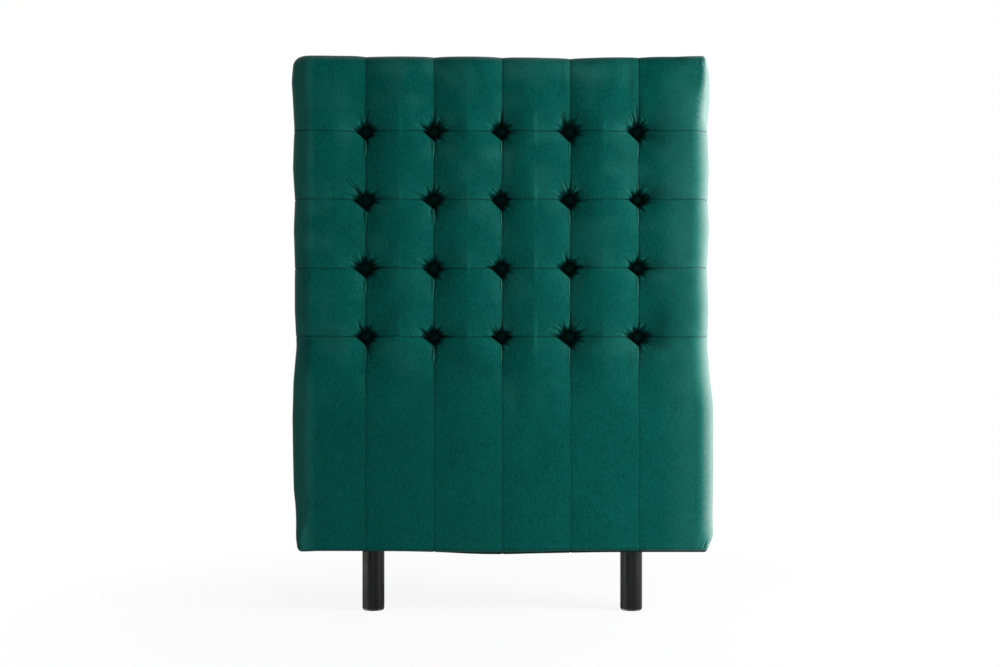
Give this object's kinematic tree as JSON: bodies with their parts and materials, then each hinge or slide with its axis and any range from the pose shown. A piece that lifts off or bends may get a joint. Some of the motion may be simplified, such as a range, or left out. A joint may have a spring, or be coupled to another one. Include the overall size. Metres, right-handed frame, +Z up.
{
  "type": "headboard",
  "caption": "Tall single-bed headboard: a padded velvet panel with square deep tufting above a plain channelled base, standing on short round black legs.",
  "frame": {"origin": "on the floor, under the middle of the panel's width and depth", "axes": "+Z up along the panel's height, +X to the right seen from the front, +Y from the tufted front to the flat back"},
  "size_m": [0.913, 0.1, 1.2],
  "materials": {
    "emerald_velvet": "cut-pile velvet",
    "upholstery_foam": "open-cell foam",
    "polyester_wadding": "matt fibre",
    "nonwoven_dust_cloth": "spun-bonded",
    "waxed_twine": "waxed",
    "white_plastic": "moulded",
    "black_powder_coat": "satin",
    "black_plastic": "moulded",
    "birch_plywood": "sanded",
    "planed_pine": "planed",
    "zinc_plated_steel": "bright"
  },
  "bodies": {
    "root": {"back_dust_cloth": "nonwoven_dust_cloth", "back_staples": "zinc_plated_steel", "backing_board": "birch_plywood", "base_board": "birch_plywood", "base_board_screws": "zinc_plated_steel", "board_nails": "zinc_plated_steel", "bottom_left_corner_block": "planed_pine", "bottom_rail": "planed_pine", "bottom_right_corner_block": "planed_pine", "centre_post": "planed_pine", "covered_button_row1_column1": "emerald_velvet", "covered_button_row1_column2": "emerald_velvet", "covered_button_row1_column3": "emerald_velvet", "covered_button_row1_column4": "emerald_velvet", "covered_button_row1_column5": "emerald_velvet", "covered_button_row2_column1": "emerald_velvet", "covered_button_row2_column2": "emerald_velvet", "covered_button_row2_column3": "emerald_velvet", "covered_button_row2_column4": "emerald_velvet", "covered_button_row2_column5": "emerald_velvet", "covered_button_row3_column1": "emerald_velvet", "covered_button_row3_column2": "emerald_velvet", "covered_button_row3_column3": "emerald_velvet", "covered_button_row3_column4": "emerald_velvet", "covered_button_row3_column5": "emerald_velvet", "covered_button_row4_column1": "emerald_velvet", "covered_button_row4_column2": "emerald_velvet", "covered_button_row4_column3": "emerald_velvet", "covered_button_row4_column4": "emerald_velvet", "covered_button_row4_column5": "emerald_velvet", "foam_pad": "upholstery_foam", "frame_screws": "zinc_plated_steel", "left_edge_wadding": "polyester_wadding", "left_leg_disc": "zinc_plated_steel", "left_leg_glide": "black_plastic", "left_leg_stud": "zinc_plated_steel", "left_leg_threaded_insert": "zinc_plated_steel", "left_leg_tube": "black_powder_coat", "left_stile": "planed_pine", "lower_middle_rail": "planed_pine", "right_edge_wadding": "polyester_wadding", "right_leg_disc": "zinc_plated_steel", "right_leg_glide": "black_plastic", "right_leg_stud": "zinc_plated_steel", "right_leg_threaded_insert": "zinc_plated_steel", "right_leg_tube": "black_powder_coat", "right_stile": "planed_pine", "top_edge_wadding": "polyester_wadding", "top_left_corner_block": "planed_pine", "top_rail": "planed_pine", "top_right_corner_block": "planed_pine", "tufting_twines": "waxed_twine", "tufting_washers": "white_plastic", "upper_middle_rail": "planed_pine", "velvet_cover": "emerald_velvet"}
  },
  "joints": []
}
